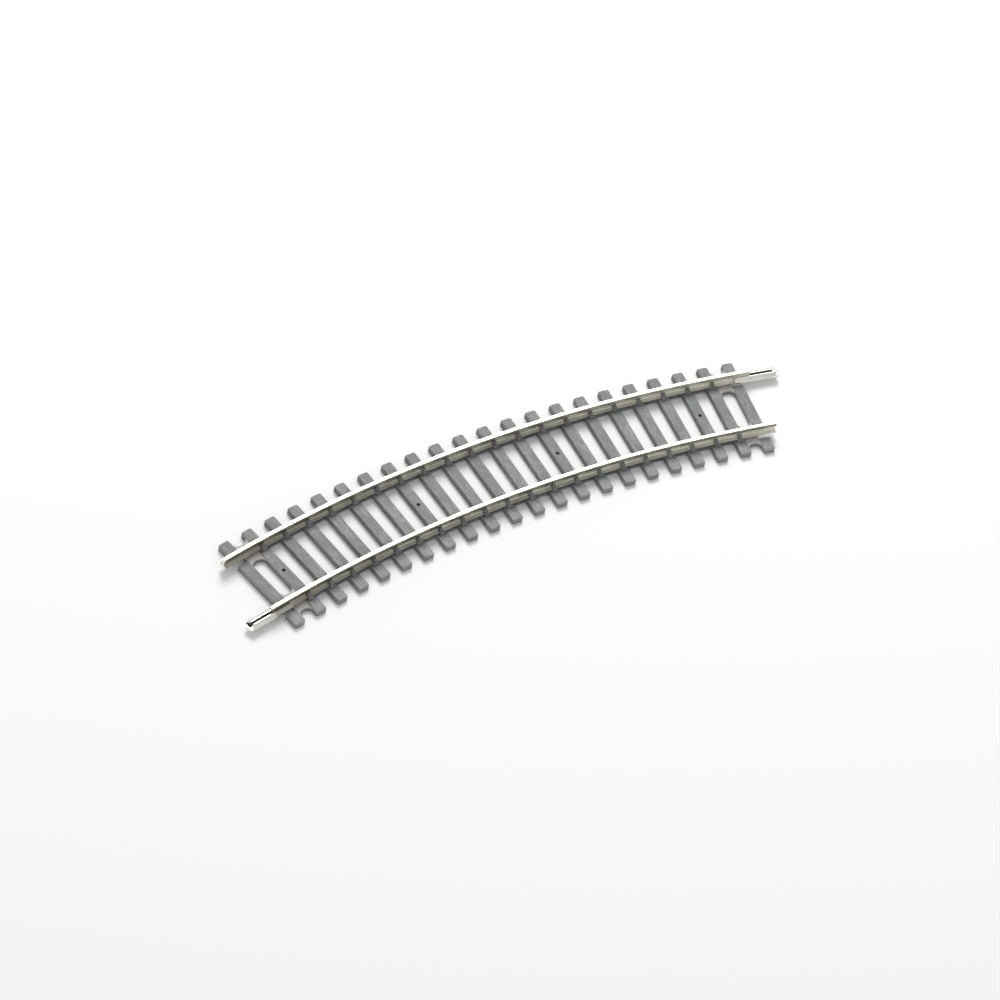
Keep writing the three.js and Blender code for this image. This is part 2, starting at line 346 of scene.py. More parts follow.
class Shells:
    """Closed shells gathered into one mesh."""

    def __init__(self):
        self.points = []
        self.faces = []
        self.count = 0

    def add(self, points, faces):
        self.points.append(np.asarray(points, float))
        self.faces += [tuple(i + self.count for i in face) for face in faces]
        self.count += len(points)
        return self

    def make(self, name):
        mesh = bpy.data.meshes.new(name)
        mesh.from_pydata((np.concatenate(self.points) * MM).tolist(), [], self.faces)
        edit = bmesh.new()
        edit.from_mesh(mesh)
        bmesh.ops.recalc_face_normals(edit, faces=edit.faces)
        edit.to_mesh(mesh)
        edit.free()
        made = bpy.data.objects.new(name, mesh)
        bpy.context.scene.collection.objects.link(made)
        return made


def prism(section, start, end, bevel=0.0):
    """A section of (outwards, up) pushed along the track. Returns points and faces."""
    section = np.asarray(section, float)
    count = len(section)
    points = []
    for along in (start, end):
        points += [(along, out, up) for out, up in section]
    faces = ring_faces(2, count)
    if bevel <= 0:
        return np.array(points), faces
    mesh = bpy.data.meshes.new("bevelled")
    mesh.from_pydata(points, [], faces)
    edit = bmesh.new()
    edit.from_mesh(mesh)
    bmesh.ops.recalc_face_normals(edit, faces=edit.faces)
    sharp = [e for e in edit.edges if e.calc_face_angle(0.0) > math.radians(PRISM_BEVEL_BREAK)]
    bmesh.ops.bevel(edit, geom=sharp, offset=bevel, segments=2, profile=0.5, affect="EDGES",
                    clamp_overlap=True)
    edit.verts.index_update()
    points = np.array([v.co for v in edit.verts])
    faces = [tuple(v.index for v in f.verts) for f in edit.faces]
    edit.free()
    bpy.data.meshes.remove(mesh)
    return points, faces


def combine(target, tool, operation):
    """Joins, or cuts, with Blender's manifold solver, and removes the tool."""
    modifier = target.modifiers.new(operation, "BOOLEAN")
    modifier.operation = operation
    modifier.solver = "MANIFOLD"
    modifier.object = tool
    settle(target)
    bpy.data.objects.remove(tool)


def settle(obj):
    """Applies the modifiers of an object."""
    graph = bpy.context.evaluated_depsgraph_get()
    mesh = bpy.data.meshes.new_from_object(obj.evaluated_get(graph))
    obj.modifiers.clear()
    obj.data = mesh


def smooth(obj, degrees):
    """Smooth shading, broken where faces meet at more than the angle."""
    for polygon in obj.data.polygons:
        polygon.use_smooth = True
    obj.data.set_sharp_from_angle(angle=math.radians(degrees))


# Sleepers

def grid_lines(core, corner):
    """Lines of a grid on a rounded rectangle, as pairs of core share and corner share."""
    shares = np.linspace(0, 1, corner + 1)[1:]
    lines = [(-1.0, -share) for share in reversed(shares)]
    lines += [(x, 0.0) for x in np.linspace(-1, 1, core)]
    lines += [(1.0, share) for share in shares]
    return np.array(lines)


def rounded_plan(across, along, half_width, half_length, radius):
    """Grid points on a rounded rectangle. The four corner squares bend into quarter discs."""
    x_core, x_corner = across[None, :, 0], across[None, :, 1]
    y_core, y_corner = along[:, None, 0], along[:, None, 1]
    bent_x = x_corner * np.sqrt(1 - y_corner ** 2 / 2)
    bent_y = y_corner * np.sqrt(1 - x_corner ** 2 / 2)
    x = x_core * (half_width - radius) + bent_x * radius
    y = y_core * (half_length - radius) + bent_y * radius
    return np.stack(np.broadcast_arrays(x, y), -1)


def border(grid):
    """The outer loop of a grid of points, counterclockwise seen from above."""
    return np.concatenate([grid[0, :-1], grid[:-1, -1], grid[-1, :0:-1], grid[:0:-1, 0]])


def soft_noise(rng, rows, columns, row_cells, column_cells):
    """Smooth random values from 0 to 1 on a grid, with about that many cells each way."""
    lattice = rng.random((row_cells + 3, column_cells + 3))
    r = np.linspace(0, row_cells, rows) + rng.random()
    c = np.linspace(0, column_cells, columns) + rng.random()
    ri, ci = r.astype(int), c.astype(int)
    rf, cf = r - ri, c - ci
    rf, cf = rf * rf * (3 - 2 * rf), cf * cf * (3 - 2 * cf)
    low = lattice[np.ix_(ri, ci)] * (1 - cf) + lattice[np.ix_(ri, ci + 1)] * cf
    high = lattice[np.ix_(ri + 1, ci)] * (1 - cf) + lattice[np.ix_(ri + 1, ci + 1)] * cf
    return low * (1 - rf)[:, None] + high * rf[:, None]


def sleeper(index):
    """One sleeper: drafted sides, rounded corners and a top that carries a wood grain."""
    rng = np.random.default_rng(GRAIN_SEED + index)
    across, along = grid_lines(GRID_ACROSS, CORNER_STEPS), grid_lines(GRID_ALONG, CORNER_STEPS)
    rows, columns = len(along), len(across)
    grid_index = np.arange(rows * columns).reshape(rows, columns)

    def plan(inset):
        half_width = SLEEPER_WIDTH / 2 - inset
        half_length = SLEEPER_LENGTH / 2 - inset
        return rounded_plan(across, along, half_width, half_length, CORNER_RADIUS)

    fine = soft_noise(rng, rows, columns, *FINE_CELLS)
    broad = soft_noise(rng, rows, columns, *BROAD_CELLS)
    cut_in = np.clip((GROOVE_LEVEL - fine) / GROOVE_FADE, 0, 1)
    groove = cut_in * FINE_SHARE + (1 - broad) * (1 - FINE_SHARE)
    inner = np.zeros((rows, columns))
    inner[1:-1, 1:-1] = 1
    top = plan(SIDE_DRAFT + TOP_EDGE)
    height = SLEEPER_HEIGHT - GRAIN_DEPTH * groove * inner
    points = [np.concatenate([top, height[:, :, None]], -1).reshape(-1, 3)]
    faces = []
    for r in range(rows - 1):
        for c in range(columns - 1):
            g = grid_index
            faces.append((g[r, c], g[r, c + 1], g[r + 1, c + 1], g[r + 1, c]))

    above = border(grid_index[:, :, None])[:, 0]
    count = len(above)
    total = rows * columns
    turns = [math.radians(a) for a in TOP_EDGE_TURNS]
    levels = [(SIDE_DRAFT + TOP_EDGE * (1 - math.cos(a)),
               SLEEPER_HEIGHT - TOP_EDGE * (1 - math.sin(a))) for a in turns]
    levels += [(SIDE_DRAFT * 0.45, STRIP_HEIGHT), (0.0, 0.0)]
    for inset, z in levels:
        ring = border(plan(inset))
        points.append(np.column_stack([ring, np.full(count, z)]))
        below = np.arange(total, total + count)
        for k in range(count):
            n = (k + 1) % count
            faces.append((above[k], above[n], below[n], below[k]))
        above = below
        total += count
    faces.append(tuple(above))
    return placed(np.concatenate(points), sleeper_angle(index)), faces


# Chairs and what lies under the rails

def plate(half_along, half_out, low, high, corner, edge):
    """A low plate with rounded corners and a rounded top edge."""
    lines = grid_lines(2, CORNER_STEPS)
    part_way = edge * EDGE_MIDWAY
    levels = [(0.0, low), (0.0, high - edge), (part_way, high - part_way), (edge, high)]
    rings = []
    for inset, z in levels:
        radius = max(corner - inset, SMALLEST_RADIUS)
        ring = border(rounded_plan(lines, lines, half_along - inset, half_out - inset, radius))
        rings.append(np.column_stack([ring, np.full(len(ring), z)]))
    return np.concatenate(rings), ring_faces(len(levels), len(rings[0]))


def jaw(side):
    """One jaw of a chair: a low shoulder outside the foot and a narrower tongue up the web."""
    shapes = []
    for outline, half_along, bevel in ((SHOULDER, SHOULDER_HALF_ALONG, SHOULDER_BEVEL),
                                       (TONGUE, TONGUE_HALF_ALONG, TONGUE_BEVEL)):
        section = [(side * x, SLEEPER_HEIGHT + z) for x, z in outline]
        shapes.append(prism(section, -half_along, half_along, bevel))
    return shapes


def bolt(along, out, low, high, radius):
    """A small round head with a bevelled top."""
    turns = np.arange(BOLT_SIDES) * 2 * math.pi / BOLT_SIDES
    inset, drop = BOLT_BEVEL
    rings = []
    for r, z in ((radius, low), (radius, high - drop), (radius - inset, high)):
        x, y = along + r * np.cos(turns), out + r * np.sin(turns)
        rings.append(np.stack([x, y, np.full(BOLT_SIDES, z)], 1))
    return np.concatenate(rings), ring_faces(len(rings), BOLT_SIDES)


def strip(offset):
    """The web of plastic under a rail, which ties the sleepers together."""
    half = STRIP_WIDTH / 2
    right = [(half, 0), (half, STRIP_HEIGHT - STRIP_CHAMFER), (half - STRIP_CHAMFER, STRIP_HEIGHT)]
    section = np.array(right + [(-x, z) for x, z in reversed(right)])
    angles = np.linspace(sleeper_angle(0), sleeper_angle(SLEEPER_COUNT - 1), STRIP_STEPS + 1)
    rings = [on_curve(a, offset + section[:, 0], section[:, 1]) for a in angles]
    return np.concatenate(rings), ring_faces(len(angles), len(section))


def end_plate(bay, offset):
    """The plate between an end sleeper and the next, with an arched edge on both sides."""
    reach = PITCH_ANGLE * (CURVE_RADIUS + offset) / 2
    half_bay = reach - SLEEPER_WIDTH / 2 + PLATE_OVERLAP
    wide = PLATE_WIDTH_AT_SLEEPERS / 2
    depth = wide - PLATE_WIDTH_MIDWAY / 2
    turns = np.linspace(0, math.pi, ARCH_STEPS + 1)
    near = [(half_bay * math.cos(a), -wide + depth * math.sin(a)) for a in reversed(turns)]
    far = [(half_bay * math.cos(a), wide - depth * math.sin(a)) for a in turns]
    plan = np.array([(-reach, -wide)] + near + [(reach, -wide), (reach, wide)] + far + [(-reach, wide)])
    out = outline_normals(plan)
    part_way = PLATE_EDGE * EDGE_MIDWAY
    levels = [(0, 0), (0, PLATE_HEIGHT - PLATE_EDGE), (part_way, PLATE_HEIGHT - part_way),
              (PLATE_EDGE, PLATE_HEIGHT)]
    rings = []
    for inset, z in levels:
        rings.append(np.column_stack([plan - out * inset, np.full(len(plan), z)]))
    middle = (sleeper_angle(bay) + sleeper_angle(bay + 1)) / 2
    return placed(np.concatenate(rings), middle, offset), ring_faces(len(levels), len(plan))


def cutter(start, end, half_out, high):
    """A block that cuts from below the moulding up to a height."""
    corners = [(half_out, -CUTTER_REACH), (half_out, high), (-half_out, high), (-half_out, -CUTTER_REACH)]
    return prism(corners, start, end)


def chair(add, angle, offset, shapes):
    """The seat, jaws and bolt heads on a sleeper under one rail, and the slots below them."""
    add("seats", shapes["seat"], angle, offset)
    low, high = SLEEPER_HEIGHT + BOLT_BOTTOM, SLEEPER_HEIGHT + BOLT_TOP
    for side in (-1, 1):
        shoulder, tongue = shapes["jaws"][side]
        add("shoulders", shoulder, angle, offset)
        add("tongues", tongue, angle, offset)
        for along in (-BOLT_ALONG, BOLT_ALONG):
            add("bolts", bolt(along, side * BOLT_OUT, low, high, BOLT_RADIUS), angle, offset)
        points, faces = shapes["slot"]
        add("slots", (points + [0, side * CORE_SLOT_OFFSET, 0], faces), angle, offset)


def make_sleeper_base():
    last = SLEEPER_COUNT - 1
    half_width = SLEEPER_WIDTH / 2
    over = SLEEPER_HEIGHT + CUTTER_REACH
    gap_shapes = {
        0: cutter(-SLEEPER_WIDTH, half_width, GAP_WIDTH / 2, over),
        last: cutter(-half_width, SLEEPER_WIDTH, GAP_WIDTH / 2, over),
    }
    slot_along, slot_out = CORE_SLOT
    shapes = {
        "seat": plate(SEAT_HALF_ALONG, CHAIR_WIDTH / 2, SLEEPER_HEIGHT - SEAT_SUNK, SEAT_TOP,
                      SEAT_CORNER, SEAT_EDGE),
        "slot": cutter(-slot_along / 2, slot_along / 2, slot_out / 2, SEAT_TOP - CORE_SLOT_ROOF),
        "jaws": {side: jaw(side) for side in (-1, 1)},
    }
    hole = bolt(0.0, 0.0, -CUTTER_REACH, over, PIN_HOLE_RADIUS)
    joined = ("strips", "plates", "seats", "shoulders", "tongues", "bolts")
    removed = ("gaps", "slots", "holes")
    sleepers = Shells()
    shells = {name: Shells() for name in joined + removed}

    def add(name, shape, angle, offset=0.0):
        points, faces = shape
        shells[name].add(placed(points, angle, offset), faces)

    for index in range(SLEEPER_COUNT):
        angle = sleeper_angle(index)
        sleepers.add(*sleeper(index))
        for offset in RAIL_OFFSETS:
            if index in gap_shapes:
                add("gaps", gap_shapes[index], angle, offset)
            else:
                chair(add, angle, offset, shapes)
        if index in PIN_SLEEPERS:
            add("holes", hole, angle)
    for offset in RAIL_OFFSETS:
        shells["strips"].add(*strip(offset))
        for bay in (0, last - 1):
            shells["plates"].add(*end_plate(bay, offset))
    base = sleepers.make("sleeper_base_moulding")
    for name in joined:
        combine(base, shells[name].make(name), "UNION")
    for name in removed:
        combine(base, shells[name].make(name), "DIFFERENCE")
    smooth(base, MOULDING_BREAK)
    return base


# Rails

def rail_section():
    """The rail's outline, in which the two upper corners of the head have radii of their own."""
    head, web, foot = HEAD_WIDTH / 2, WEB_THICKNESS / 2, FOOT_WIDTH / 2
    right = [
        (foot, 0),
        (foot, FOOT_EDGE_HEIGHT),
        FOOT_SLOPE_END,
        (web, WEB_BOTTOM),
        (web, WEB_TOP),
        (head, HEAD_BOTTOM),
        (head, RAIL_HEIGHT - CROWN),
    ]
    corners = right + [(0.0, RAIL_HEIGHT)] + [(-x, z) for x, z in reversed(right)]
    upper = [OUTWARD_CORNER_RADIUS, 0.0, INWARD_CORNER_RADIUS]
    return fillet(corners, SECTION_RADII + upper + list(reversed(SECTION_RADII)))


def make_rail(name, offset):
    section = rail_section()
    inset = section - outline_normals(section) * CUT_BEVEL
    bevel_angle = CUT_BEVEL / (CURVE_RADIUS + offset)
    end = SWEEP / 2
    inner_angles = np.linspace(-end + bevel_angle, end - bevel_angle, RAIL_STEPS + 1)
    stations = [(-end, inset)] + [(a, section) for a in inner_angles] + [(end, inset)]
    rings = [on_curve(a, offset + s[:, 0], RAIL_BASE + s[:, 1]) for a, s in stations]
    rail = Shells().add(np.concatenate(rings), ring_faces(len(rings), len(section))).make(name)
    smooth(rail, RAIL_BREAK)
    return rail


# Joiners

def joiner_path():
    """The middle of the folded sheet, from one lip round the floor to the other."""
    right = [
        (0.0, JOINER_FLOOR),
        (JOINER_WALL, JOINER_FLOOR),
        (JOINER_WALL, JOINER_WALL_TOP),
        LIP_BEND,
        (LIP_INNER, LIP_FOOT_HEIGHT),
        (LIP_INNER, LIP_TOP),
    ]
    half = fillet(right, JOINER_RADII, 5)
    dense = [half[0]]
    for a, b in zip(half[:-1], half[1:]):
        pieces = max(1, int(np.ceil(np.linalg.norm(b - a) / PATH_STEP)))
        dense += [a + (b - a) * (k + 1) / pieces for k in range(pieces)]
    right_half = np.array(dense)
    left_half = (right_half * [-1, 1])[:0:-1]
    return np.concatenate([left_half, right_half])


def end_cut(travel):
    """How far the end of the sheet is cut back at each point of the path."""
    from_floor = np.abs(travel - travel[-1] / 2)
    from_lip = travel[-1] / 2 - from_floor
    share = np.clip((from_floor - CUTBACK_START) / CUTBACK_LENGTH, 0, 1)
    edge = np.clip(LIP_CORNER - from_lip, 0, LIP_CORNER)
    corner = LIP_CORNER - np.sqrt(LIP_CORNER ** 2 - edge ** 2)
    return LIP_CUTBACK * share * share * (3 - 2 * share) + corner


def make_joiner(name, offset, side, engaged):
    path = joiner_path()
    step = np.diff(path, axis=0)
    lengths = np.linalg.norm(step, axis=1)
    cut = end_cut(np.concatenate([[0], np.cumsum(lengths)]))
    turning = step[:-1] / lengths[:-1, None] + step[1:] / lengths[1:, None]
    tangent = np.concatenate([step[:1], turning, step[-1:]])
    tangent /= np.linalg.norm(tangent, axis=1)[:, None]
    normal = np.stack([tangent[:, 1], -tangent[:, 0]], 1)
    half_length = JOINER_LENGTH / 2
    stations = np.linspace(-1, 1, JOINER_STEPS + 1)
    skins = []
    for thickness in (SHEET / 2, -SHEET / 2):
        rim = path + normal * thickness
        skins.append([np.column_stack([s * (half_length - cut), rim]) for s in stations])
    rows, columns = len(stations), len(path)
    points = np.array(skins).reshape(-1, 3)
    outer, inner = np.arange(2 * rows * columns).reshape(2, rows, columns)
    faces = []
    for r in range(rows - 1):
        for c in range(columns - 1):
            faces.append((outer[r, c], outer[r, c + 1], outer[r + 1, c + 1], outer[r + 1, c]))
            faces.append((inner[r, c], inner[r + 1, c], inner[r + 1, c + 1], inner[r, c + 1]))
    outer_rim, inner_rim = border(outer[:, :, None])[:, 0], border(inner[:, :, None])[:, 0]
    for k in range(len(outer_rim)):
        n = (k + 1) % len(outer_rim)
        faces.append((outer_rim[k], inner_rim[k], inner_rim[n], outer_rim[n]))
    middle = engaged / 2
    angle = side * (SWEEP / 2 - middle / (CURVE_RADIUS + offset))
    points[:, 0] += side * (half_length - engaged + middle)
    points[:, 2] += RAIL_BASE
    joiner = Shells().add(placed(points, angle, offset), faces).make(name)
    bevel = joiner.modifiers.new("rim", "BEVEL")
    bevel.width = RIM_BEVEL * MM
    bevel.segments = 2
    bevel.limit_method = "ANGLE"
    bevel.angle_limit = math.radians(RIM_BEVEL_BREAK)
    settle(joiner)
    smooth(joiner, JOINER_BREAK)
    return joiner


# Materials

class Shader:
    """A node tree with short ways to add nodes and link them."""

    def __init__(self, name):
        self.material = bpy.data.materials.new(name)
        self.material.use_nodes = True
        self.tree = self.material.node_tree
        self.surface = self.tree.nodes["Principled BSDF"]

    def node(self, kind, inputs=None, **settings):
        made = self.tree.nodes.new(kind)
        for key, value in settings.items():
            setattr(made, key, value)
        for key, value in (inputs or {}).items():
            self.feed(made.inputs[key], value)
        return made

    def feed(self, socket, value):
        if isinstance(value, bpy.types.NodeSocket):
            self.tree.links.new(value, socket)
        else:
            socket.default_value = value

    def math(self, operation, *values):
        made = self.node("ShaderNodeMath", operation=operation)
        for socket, value in zip(made.inputs, values):
            self.feed(socket, value)
        return made.outputs[0]

    def between(self, value, low, high, to_low=0.0, to_high=1.0):
        """Maps a value from one range to another, and holds it there."""
        made = self.node("ShaderNodeMapRange", interpolation_type="SMOOTHSTEP")
        for key, number in (("Value", value), ("From Min", low), ("From Max", high),
                            ("To Min", to_low), ("To Max", to_high)):
            self.feed(made.inputs[key], number)
        return made.outputs["Result"]

    def mix(self, share, first, second):
        made = self.node("ShaderNodeMix", data_type="RGBA")
        self.feed(made.inputs[0], share)
        self.feed(made.inputs[6], first)
        self.feed(made.inputs[7], second)
        return made.outputs[2]

    def times(self, *values):
        """The product of two or more values."""
        made = values[0]
        for value in values[1:]:
            made = self.math("MULTIPLY", made, value)
        return made

    def less(self, value):
        """What is left of 1."""
        return self.math("SUBTRACT", 1.0, value)

    def from_rail(self, out):
        """Distance from the middle of the nearer rail."""
        return self.math("ABSOLUTE", self.math("SUBTRACT", self.math("ABSOLUTE", out), RAIL_OFFSET))

    def place_on_curve(self):
        """Arc length, distance outwards and height, in millimetres."""
        place = self.node("ShaderNodeTexCoord").outputs["Object"]
        centre = (CENTRE_X * MM, (CENTRE_Y - CURVE_RADIUS) * MM, 0.0)
        moved = self.node("ShaderNodeVectorMath", operation="SUBTRACT")
        self.feed(moved.inputs[0], place)
        self.feed(moved.inputs[1], centre)
        split = self.node("ShaderNodeSeparateXYZ", {"Vector": moved.outputs[0]})
        x, y, z = split.outputs
        radius = self.math("SQRT", self.math("ADD", self.times(x, x), self.times(y, y)))
        arc = self.math("MULTIPLY", self.math("ARCTAN2", x, y), CURVE_RADIUS)
        out = self.math("SUBTRACT", self.math("MULTIPLY", radius, 1 / MM), CURVE_RADIUS)
        height = self.math("MULTIPLY", z, 1 / MM)
        return arc, out, height

    def noise(self, arc, out, height, stretch, scale, detail=3.0, roughness=0.55):
        """Noise whose cells are stretched along the curve, outwards and up."""
        vector = self.node("ShaderNodeCombineXYZ")
        for socket, value, factor in zip(vector.inputs, (arc, out, height), stretch):
            self.feed(socket, self.math("MULTIPLY", value, factor))
        made = self.node("ShaderNodeTexNoise", {"Vector": vector.outputs[0], "Scale": scale,
                                                "Detail": detail, "Roughness": roughness})
        return made.outputs[0]

    def bump(self, height, distance, strength, below=None):
        made = self.node("ShaderNodeBump", {"Height": height, "Distance": distance * MM,
                                            "Strength": strength})
        if below is not None:
            self.feed(made.inputs["Normal"], below)
        return made.outputs[0]


def sleeper_plastic():
    """Grained grey plastic, with painted light on the end plates and painted shade beside the rails."""
    s = Shader("sleeper_plastic")
    arc, out, height = s.place_on_curve()
    blotch = s.noise(arc, out, height, (1, 0.4, 1), 0.35, 3.0)
    mottle = s.noise(arc, out, height, (1, 0.6, 1), 1.2, 3.0, 0.6)
    grain = s.noise(arc, out, height, (1, 0.06, 1), 5.0, 4.0, 0.6)
    pores = s.noise(arc, out, height, (1, 1, 1), 14.0, 2.0)
    tone = s.mix(s.between(blotch, 0.35, 0.65), MOULDED_DARK, MOULDED_LIGHT)
    tone = s.mix(s.between(mottle, 0.57, 0.35, 0.0, MOTTLE_SHARE), tone, GRAIN_TONE)
    colour = s.mix(s.between(grain, 0.32, 0.6), GRAIN_TONE, tone)
    from_middle = s.math("ABSOLUTE", s.math("SUBTRACT", arc, SHIFT_ANGLE * CURVE_RADIUS))
    below_tops = s.between(height, SLEEPER_HEIGHT - 0.05, PLATE_HEIGHT + 0.02)
    upper_face = s.between(height, *PLATE_FACE_HEIGHT)
    # The end plates' tops get painted light, and no painted shade
    plate_light_mask = s.times(s.between(from_middle, *END_BAY_ARC), below_tops, upper_face)
    colour = s.mix(s.math("MULTIPLY", plate_light_mask, PLATE_LIGHT_SHARE), colour, PLATE_PAINTED_LIGHT)
    # Lighter towards the inner ends of the sleepers
    colour = s.mix(s.between(out, *INNER_END_OUT, 0.0, INNER_END_SHARE), colour, INNER_END_TONE)
    # Painted shade towards the outer ends of the sleepers
    colour = s.mix(s.between(out, *OUTER_END_SHADE_OUT, 0.0, OUTER_END_SHADE_SHARE), colour, OUTER_END_SHADE)
    # Painted shade beside the rails, eased towards the right-hand end where painted light is added
    beside_rail = s.between(s.from_rail(out), *SHADE_FROM_RAIL, 0.0, SHADE_SHARE)
    shade_eased_to_right = s.between(arc, *LIT_RIGHT_ARC, 1.0, SHADE_SHARE_AT_RIGHT_END)
    painted_shade = s.times(beside_rail, s.between(height, *SHADE_HEIGHT), shade_eased_to_right, s.less(plate_light_mask))
    colour = s.mix(painted_shade, colour, PAINTED_SHADE_TONE)
    s.feed(s.surface.inputs["Base Color"], colour)
    s.feed(s.surface.inputs["Roughness"], s.between(pores, 0.3, 0.7, 0.48, 0.64))
    s.surface.inputs["Specular IOR Level"].default_value = 0.4
    lines = s.bump(grain, 0.03, 0.5)
    s.feed(s.surface.inputs["Normal"], s.bump(pores, 0.006, 0.35, lines))
    return s.material


def rail_metal():
    """Bright head, dull web and foot, painted light on the web and the right-hand end, painted shade on
    the foot.
    """
    s = Shader("nickel_silver_rail")
    arc, out, height = s.place_on_curve()
    drawn = s.noise(arc, out, height, (0.03, 1, 1), 16.0, 4.0, 0.65)
    stain = s.noise(arc, out, height, (0.35, 1, 1.3), 0.9, 4.0, 0.6)
    speckle = s.noise(arc, out, height, (0.6, 1, 1), 5.0, 3.0, 0.6)
    inner = s.math("LESS_THAN", out, 0.0)
    across = s.math("ADD", out, s.math("MULTIPLY", inner, 2 * RAIL_OFFSET))
    across = s.math("SUBTRACT", across, RAIL_OFFSET)
    up = s.math("SUBTRACT", height, RAIL_BASE)
    polished = s.times(s.between(across, *POLISHED_ACROSS), s.between(up, *POLISHED_UP))
    travel = s.math("ABSOLUTE", arc)
    cut = s.between(travel, RAIL_HALF_ARC - CUT_BEVEL, RAIL_HALF_ARC - 0.01)
    # Near the rail ends, where there are no chairs, the foot gets no painted shade
    foot_unshaded = s.between(travel, *UNSHADED_FOOT_ARC)
    # Painted light rises towards the right-hand end, less on the inner rail
    lit_right = s.times(s.between(arc, *LIT_RIGHT_ARC), s.less(s.math("MULTIPLY", inner, INNER_RAIL_LESS_LIT)))
    toward_left_end = s.between(arc, *DARKER_LEFT_ARC)
    foot = s.between(up, *FOOT_UP)
    side = s.between(up, *SIDE_UP)
    stained = s.between(stain, 0.32, 0.68)
    # The web is lightened as painted light, and the foot is darkened as painted shade except at the ends
    lit_web_tone = s.mix(stained, LIT_WEB_DARK, LIT_WEB_LIGHT)
    shaded_foot_tone = s.mix(stained, SHADED_FOOT_DARK, SHADED_FOOT_LIGHT)
    side_tone = s.mix(inner, s.mix(lit_right, SIDE_DARK, SIDE_LIT_RIGHT), SIDE_INNER_RAIL)
    dull = s.mix(s.times(foot, s.less(foot_unshaded)), lit_web_tone, shaded_foot_tone)
    # Painted light near white towards the right-hand end, weaker on the foot
    right_end_light = s.times(lit_right, s.math("SUBTRACT", 0.85, s.math("MULTIPLY", foot, 0.6)))
    dull = s.mix(right_end_light, dull, RIGHT_END_LIGHT_TONE)
    dull = s.mix(side, dull, side_tone)
    dull = s.mix(s.between(speckle, 0.5, 0.78, 0.0, SPECKLE_SHARE), dull, SPECKLE_TONE)
    # Darker towards the left-hand end of the rails
    dull = s.mix(s.math("MULTIPLY", toward_left_end, LEFT_END_DARK_SHARE), dull, LEFT_END_DARK_TONE)
    dull = s.mix(cut, dull, CUT_TONE)
    bright = s.mix(s.between(drawn, 0.3, 0.7), DRAWN_DARK, DRAWN_LIGHT)
    s.feed(s.surface.inputs["Base Color"], s.mix(polished, dull, bright))
    haze = s.math("ADD", 0.15, s.math("MULTIPLY", lit_right, 0.4))
    s.feed(s.surface.inputs["Metallic"], s.less(s.times(haze, s.less(polished))))
    fresh = s.between(drawn, 0.3, 0.7, 0.2, 0.3)
    smoother = s.between(height, *SMOOTHER_HEIGHT, 0.42, 0.24)
    worn = s.math("ADD", s.between(stain, 0.3, 0.7, 0.0, 0.12), smoother)
    rough = s.node("ShaderNodeMix", data_type="FLOAT")
    for key, value in ((0, polished), (2, worn), (3, fresh)):
        s.feed(rough.inputs[key], value)
    s.feed(s.surface.inputs["Roughness"], rough.outputs[0])
    s.feed(s.surface.inputs["Normal"], s.bump(drawn, 0.006, 0.35))
    return s.material


def joiner_metal():
    """Bright rolled sheet with painted shade inside; where it grips the rail, painted shade on the left
    and painted light on the right.
    """
    s = Shader("nickel_silver_joiner")
    arc, out, height = s.place_on_curve()
    rolled = s.noise(arc, out, height, (0.08, 1, 1), 12.0, 4.0, 0.6)
    smear = s.noise(arc, out, height, (0.5, 1, 1), 0.8, 3.0, 0.5)
    colour = s.mix(s.between(smear, 0.35, 0.7), SHEET_DARK, SHEET_LIGHT)
    travel = s.math("ABSOLUTE", arc)
    # Painted shade on the left joiner and painted light on the right one where they are inside the rails
    gripping = s.between(travel, RAIL_HALF_ARC + 0.1, RAIL_HALF_ARC - 1.2, 0.0, GRIP_SHARE)
    colour = s.mix(gripping, colour, s.mix(s.between(arc, -1.0, 1.0), GRIP_PAINTED_SHADE, GRIP_PAINTED_LIGHT))
    across = s.from_rail(out)
    up = s.math("SUBTRACT", height, RAIL_BASE)
    slope = s.math("ADD", up, s.math("MULTIPLY", across, LIP_SLOPE))
    under_lip = s.math("LESS_THAN", slope, LIP_LINE)
    within_walls = s.math("LESS_THAN", across, JOINER_WALL)
    over_floor = s.math("GREATER_THAN", up, JOINER_FLOOR)
    between_lips = s.math("LESS_THAN", across, LIP_FACE)
    inside = s.math("MAXIMUM", s.times(under_lip, within_walls, over_floor), between_lips)
    # Painted shade on the inside of the channel and between the lips
    colour = s.mix(s.math("MULTIPLY", inside, INSIDE_SHADE_SHARE), colour, JOINER_INSIDE_SHADE)
    s.feed(s.surface.inputs["Base Color"], colour)
    s.surface.inputs["Metallic"].default_value = 1.0
    s.feed(s.surface.inputs["Roughness"], s.between(rolled, 0.3, 0.7, 0.22, 0.36))
    s.feed(s.surface.inputs["Normal"], s.bump(rolled, 0.005, 0.3))
    return s.material


# The object

plastic, rail_finish, joiner_finish = sleeper_plastic(), rail_metal(), joiner_metal()
pieces = [
    (make_sleeper_base(), plastic, "track", "sleeper_base", "sleeper_plastic"),
    (make_rail("outer_rail_drawn", RAIL_OFFSET), rail_finish, "track", "outer_rail", "rail_metal"),
    (make_rail("inner_rail_drawn", -RAIL_OFFSET), rail_finish, "track", "inner_rail", "rail_metal"),
    (make_joiner("outer_joiner_sheet", RAIL_OFFSET, 1, OUTER_JOINER_ENGAGED), joiner_finish,
     "outer_rail_joiner", "outer_rail_joiner", "joiner_metal"),
    (make_joiner("inner_joiner_sheet", -RAIL_OFFSET, -1, INNER_JOINER_ENGAGED), joiner_finish,
     "inner_rail_joiner", "inner_rail_joiner", "joiner_metal"),
]
for piece, material, body, node, slot in pieces:
    piece.data.materials.clear()
    piece.data.materials.append(material)
    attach(piece, body)
    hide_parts(node)


# Floor, light and camera

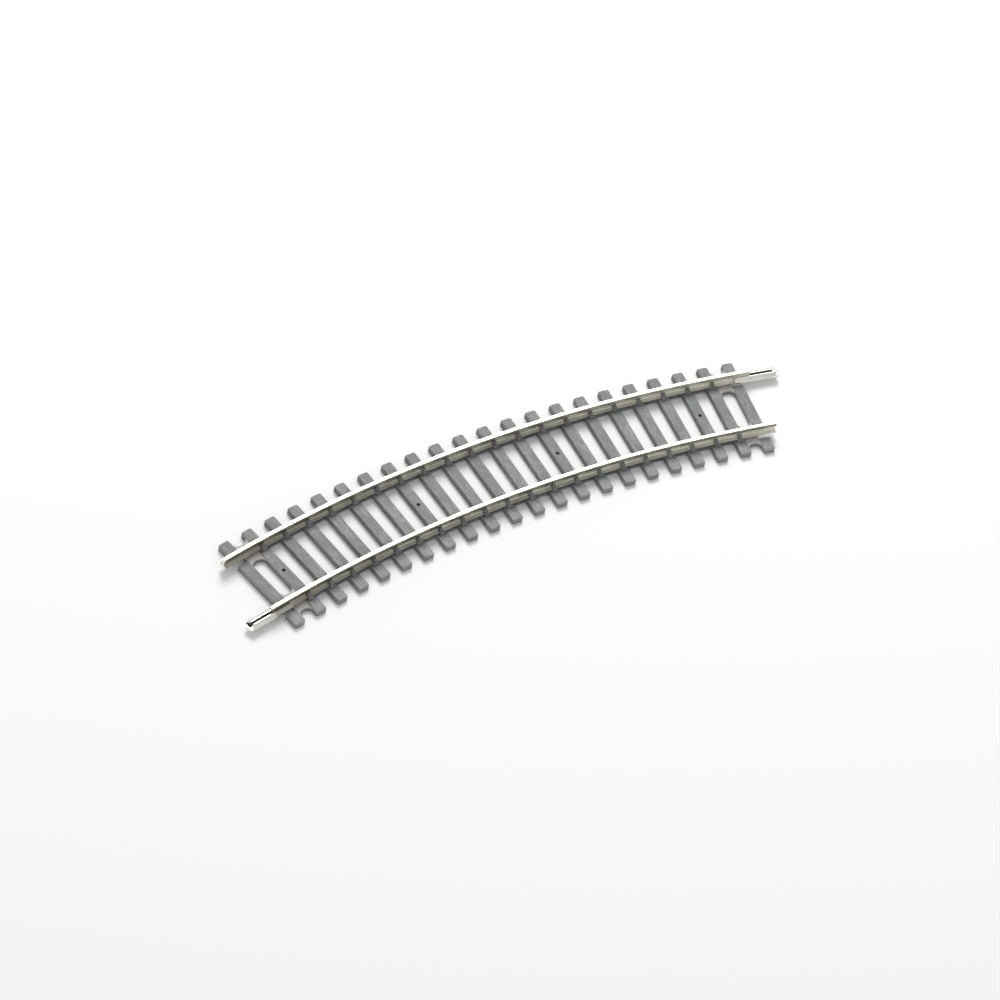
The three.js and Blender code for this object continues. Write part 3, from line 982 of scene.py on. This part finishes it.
def make_floor():
    mesh = bpy.data.meshes.new("floor")
    corners = [(-FLOOR_HALF, -FLOOR_HALF), (FLOOR_HALF, -FLOOR_HALF), (FLOOR_HALF, FLOOR_HALF),
               (-FLOOR_HALF, FLOOR_HALF)]
    mesh.from_pydata([(x, y, -FLOOR_DROP * MM) for x, y in corners], [], [(0, 1, 2, 3)])
    made = bpy.data.objects.new("floor", mesh)
    bpy.context.scene.collection.objects.link(made)
    paper = Shader("floor_paper")
    paper.surface.inputs["Base Color"].default_value = FLOOR_TONE
    paper.surface.inputs["Roughness"].default_value = 0.9
    paper.surface.inputs["Specular IOR Level"].default_value = 0.1
    mesh.materials.append(paper.material)


def aim(obj, back, up):
    """Turns a light or camera so that it looks against back."""
    right = up.cross(back).normalized()
    up = back.cross(right)
    turned = Matrix((right, up, back)).transposed().to_4x4()
    turned.translation = obj.location
    obj.matrix_world = turned


def make_light():
    """One soft box above and behind the track."""
    data = bpy.data.lights.new("back_softbox", "AREA")
    data.shape = "SQUARE"
    data.size = LIGHT_SIZE
    data.energy = LIGHT_POWER
    made = bpy.data.objects.new("back_softbox", data)
    bpy.context.scene.collection.objects.link(made)
    back = Vector(LIGHT_DIRECTION).normalized()
    made.location = back * LIGHT_DISTANCE
    aim(made, back, Vector((0, 1, 0)))


def make_world():
    """Even white light from all round."""
    world = bpy.data.worlds.new("studio")
    world.use_nodes = True
    background = world.node_tree.nodes["Background"]
    background.inputs["Color"].default_value = WHITE
    background.inputs["Strength"].default_value = WORLD_STRENGTH
    bpy.context.scene.world = world


def make_camera():
    right = Vector((math.cos(CAMERA_AZIMUTH), math.sin(CAMERA_AZIMUTH), 0))
    level = math.cos(CAMERA_ELEVATION)
    back = Vector((right.y * level, -right.x * level, math.sin(CAMERA_ELEVATION)))
    up = back.cross(right)
    data = bpy.data.cameras.new("camera")
    data.sensor_width = CAMERA_SENSOR
    data.lens = CAMERA_LENS
    data.clip_start, data.clip_end = 0.01, 20
    made = bpy.data.objects.new("camera", data)
    bpy.context.scene.collection.objects.link(made)
    made.location = (Vector(CAMERA_TARGET) + back * CAMERA_DISTANCE) * MM
    aim(made, back, up * math.cos(CAMERA_ROLL) - right * math.sin(CAMERA_ROLL))
    bpy.context.scene.camera = made


make_floor()
make_light()
make_world()
make_camera()
bpy.context.scene.view_settings.view_transform = "Standard"
